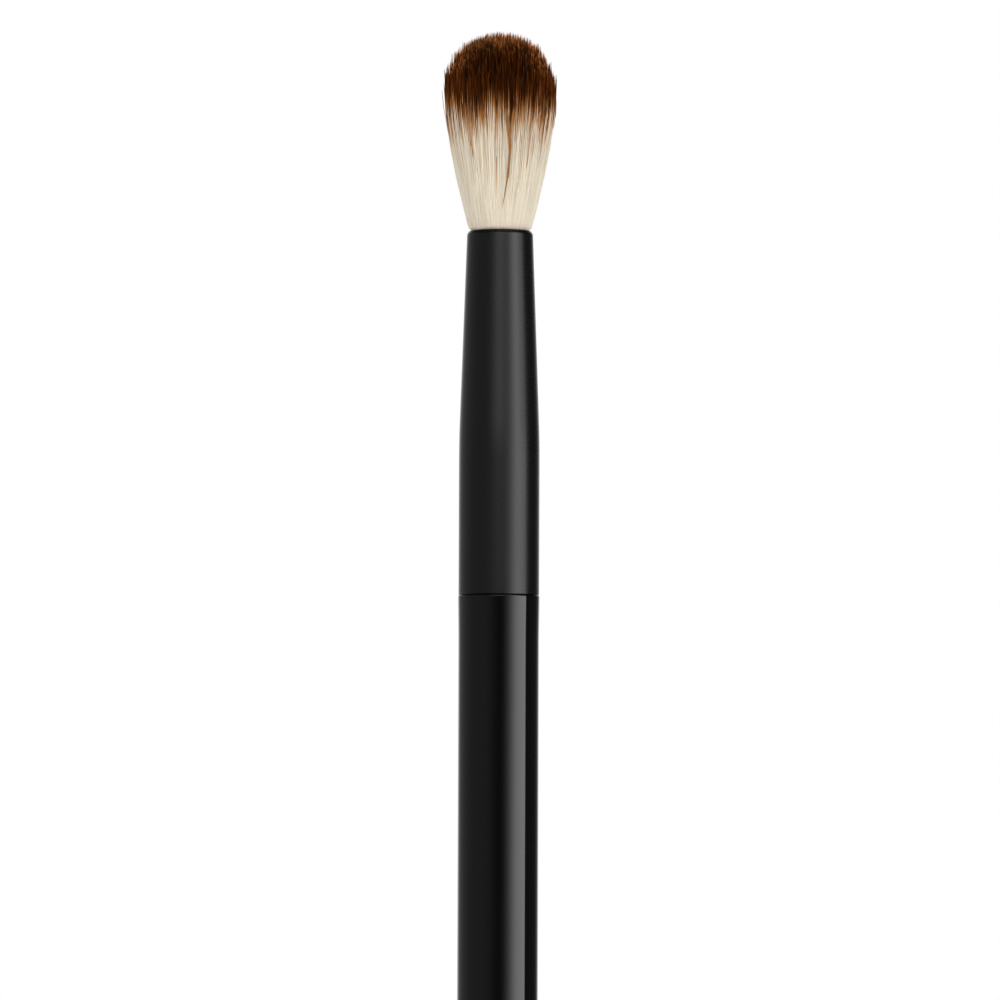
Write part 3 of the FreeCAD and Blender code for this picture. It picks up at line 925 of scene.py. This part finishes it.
class BRUSH_OT_stage(bpy.types.Operator):
    """Set the camera, the pale floor, the soft lamps and the studio round the brush."""

    bl_idname = "blending_brush.stage"
    bl_label = "Stage"

    def execute(self, context):
        stage = context.scene.brush_stage
        self.set_camera(context.scene, stage)
        self.set_floor(stage)
        target = Vector((0.0, 0.0, stage.view_height))
        self.set_lamp("key_light", stage.key_power, target, size=(0.5, 0.9), azimuth=28.0, elevation=18.0)
        self.set_lamp("fill_light", stage.fill_power, target, size=(0.7, 0.9), azimuth=-31.0, elevation=14.0)
        self.set_lamp("top_light", stage.top_power, target, size=(0.7, 0.7), azimuth=165.0, elevation=58.0)
        self.set_world(context.scene, stage)
        context.scene.view_settings.view_transform = "Standard"
        return {"FINISHED"}

    def set_camera(self, scene, stage, sensor=36.0):
        """Camera on a tilted line from the point it looks at, with the lens that gives the view's width."""
        camera = bpy.data.objects.new("camera", bpy.data.cameras.new("camera"))
        scene.collection.objects.link(camera)
        scene.camera = camera
        tilt = stage.camera_elevation
        back = Vector((0.0, -math.cos(tilt), math.sin(tilt)))
        roll = Quaternion((0.0, 0.0, 1.0), stage.camera_roll)
        camera.location = Vector((stage.view_aside, 0.0, stage.view_height)) + back * stage.camera_distance
        camera.rotation_mode = "QUATERNION"
        camera.rotation_quaternion = (-back).to_track_quat("-Z", "Y") @ roll
        camera.data.sensor_width = sensor
        camera.data.lens = sensor * stage.camera_distance / stage.view_width
        camera.data.clip_start, camera.data.clip_end = 0.01, 100.0

    def set_floor(self, stage):
        """Round floor on a grid of rings and spokes, just under the tail."""
        rings = [(FLOOR_RADIUS * third / 3.0, 0.0) for third in range(4)]
        profile = np.array([*rings, (FLOOR_RADIUS, -FLOOR_DEPTH), (0.0, -FLOOR_DEPTH)])
        profile[:, 1] += HANDLE_LOW.z
        floor = put_piece("floor", *around(profile, FLOOR_FACETS, closed=False))
        floor.data.polygons.foreach_set("use_smooth", np.zeros(len(floor.data.polygons), bool))
        floor.data.materials.append(floor_material(stage.floor_colour))

    def set_lamp(self, name, power, target, size, azimuth, elevation, distance=0.9):
        """Soft rectangular lamp that faces the target, azimuth to the right of the camera."""
        light = bpy.data.lights.new(name, "AREA")
        light.energy, light.shape, light.size, light.size_y = power, "RECTANGLE", *size
        lamp = bpy.data.objects.new(name, light)
        bpy.context.scene.collection.objects.link(lamp)
        turn, rise = math.radians(azimuth), math.radians(elevation)
        away = Vector((math.sin(turn) * math.cos(rise), -math.cos(turn) * math.cos(rise), math.sin(rise)))
        lamp.location = target + away * distance
        lamp.rotation_mode = "QUATERNION"
        lamp.rotation_quaternion = (-away).to_track_quat("-Z", "Y")
        lamp.visible_glossy = False

    def set_world(self, scene, stage):
        """White behind everything, an even ambient light, and for gloss a studio with two softboxes."""
        world = bpy.data.worlds.new("studio")
        scene.world = world
        world.use_nodes = True
        tree = world.node_tree
        do, eased = partial(maths, tree), partial(mapped, tree)
        towards = add_node(tree, "ShaderNodeTexCoord").outputs["Generated"]
        split = add_node(tree, "ShaderNodeSeparateXYZ", {"Vector": towards}).outputs
        angle = do("ARCTAN2", split["X"], do("MULTIPLY", split["Y"], -1.0))
        share = do("ADD", do("DIVIDE", angle, FULL_TURN), 0.5)
        curve = add_node(tree, "ShaderNodeFloatCurve", {"Value": share})
        points = curve.mapping.curves[0].points
        most = max(strength for _, strength in SURROUNDINGS)
        places = [(degrees / 360.0 + 0.5, strength / most) for degrees, strength in SURROUNDINGS]
        points[0].location, points[-1].location = places[0], places[-1]
        for place in places[1:-1]:
            points.new(*place)
        for point in points:
            point.handle_type = "VECTOR"
        curve.mapping.update()
        # The tall softbox on the right narrows upwards from its far edge
        high = do("ABSOLUTE", split["Z"])
        far = eased(angle, math.radians(48.0), math.radians(74.0), 0.0, 0.68)
        near_side = do("LESS_THAN", angle, math.radians(90.0))
        cut = do("MULTIPLY", do("MULTIPLY", far, near_side), eased(high, 0.038, 0.085))
        round_about = do("MULTIPLY", do("MULTIPLY", curve.outputs[0], most), do("SUBTRACT", 1.0, cut))
        # A second, dimmer one hangs above the camera, and the studio is dark overhead
        aside = do("DIVIDE", angle, 0.36)
        middle = do("POWER", math.e, do("MULTIPLY", do("MULTIPLY", aside, aside), -1.0))
        second = do("MULTIPLY", middle, eased(split["Z"], 0.06, 0.2, 0.0, 1.9))
        gloss = do("MULTIPLY", do("ADD", round_about, second), eased(high, 0.3, 0.6, 1.0, 0.1))
        even = mapped(tree, split["Y"], -1.0, 1.0, stage.ambient * 0.8, stage.ambient * 1.2, kind="LINEAR")
        rays = add_node(tree, "ShaderNodeLightPath").outputs
        seen = do("MAXIMUM", rays["Is Camera Ray"], rays["Is Transmission Ray"])
        strength = mixed(tree, seen, mixed(tree, rays["Is Glossy Ray"], even, gloss), 1.0)
        background = tree.nodes["Background"]
        tree.links.new(strength, background.inputs["Strength"])
        background.inputs["Color"].default_value = (1.0, 1.0, 1.0, 1.0)


class BRUSH_PT_panel(bpy.types.Panel):
    """Sidebar panel with the pieces, their sizes and colours."""

    bl_label = "Blending brush"
    bl_idname = "BRUSH_PT_panel"
    bl_space_type = "VIEW_3D"
    bl_region_type = "UI"
    bl_category = "Blending brush"

    def draw(self, context):
        scene = context.scene
        for operator, settings in (
            (BRUSH_OT_handle, scene.brush_handle), (BRUSH_OT_ferrule, scene.brush_ferrule),
            (BRUSH_OT_bristles, scene.brush_bristles), (BRUSH_OT_hidden, None),
            (BRUSH_OT_stage, scene.brush_stage),
        ):
            box = self.layout.box()
            box.operator(operator.bl_idname)
            for name in getattr(settings, "__annotations__", ()):
                box.prop(settings, name)


CLASSES = (
    HandleSettings, FerruleSettings, BristleSettings, StageSettings,
    BRUSH_OT_handle, BRUSH_OT_ferrule, BRUSH_OT_bristles, BRUSH_OT_hidden, BRUSH_OT_stage, BRUSH_PT_panel,
)
SETTINGS = {
    "brush_handle": HandleSettings, "brush_ferrule": FerruleSettings,
    "brush_bristles": BristleSettings, "brush_stage": StageSettings,
}


def register():
    """Register the classes and hang the settings on the scene."""
    for item in CLASSES:
        bpy.utils.register_class(item)
    for name, kind in SETTINGS.items():
        setattr(bpy.types.Scene, name, PointerProperty(type=kind))


def unregister():
    """Take the settings and the classes away again."""
    for name in SETTINGS:
        delattr(bpy.types.Scene, name)
    for item in reversed(CLASSES):
        bpy.utils.unregister_class(item)


def main():
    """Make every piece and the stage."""
    register()
    bpy.ops.blending_brush.stage()
    bpy.ops.blending_brush.handle()
    bpy.ops.blending_brush.ferrule()
    bpy.ops.blending_brush.bristles()
    bpy.ops.blending_brush.hidden()


if __name__ == "__main__":
    main()
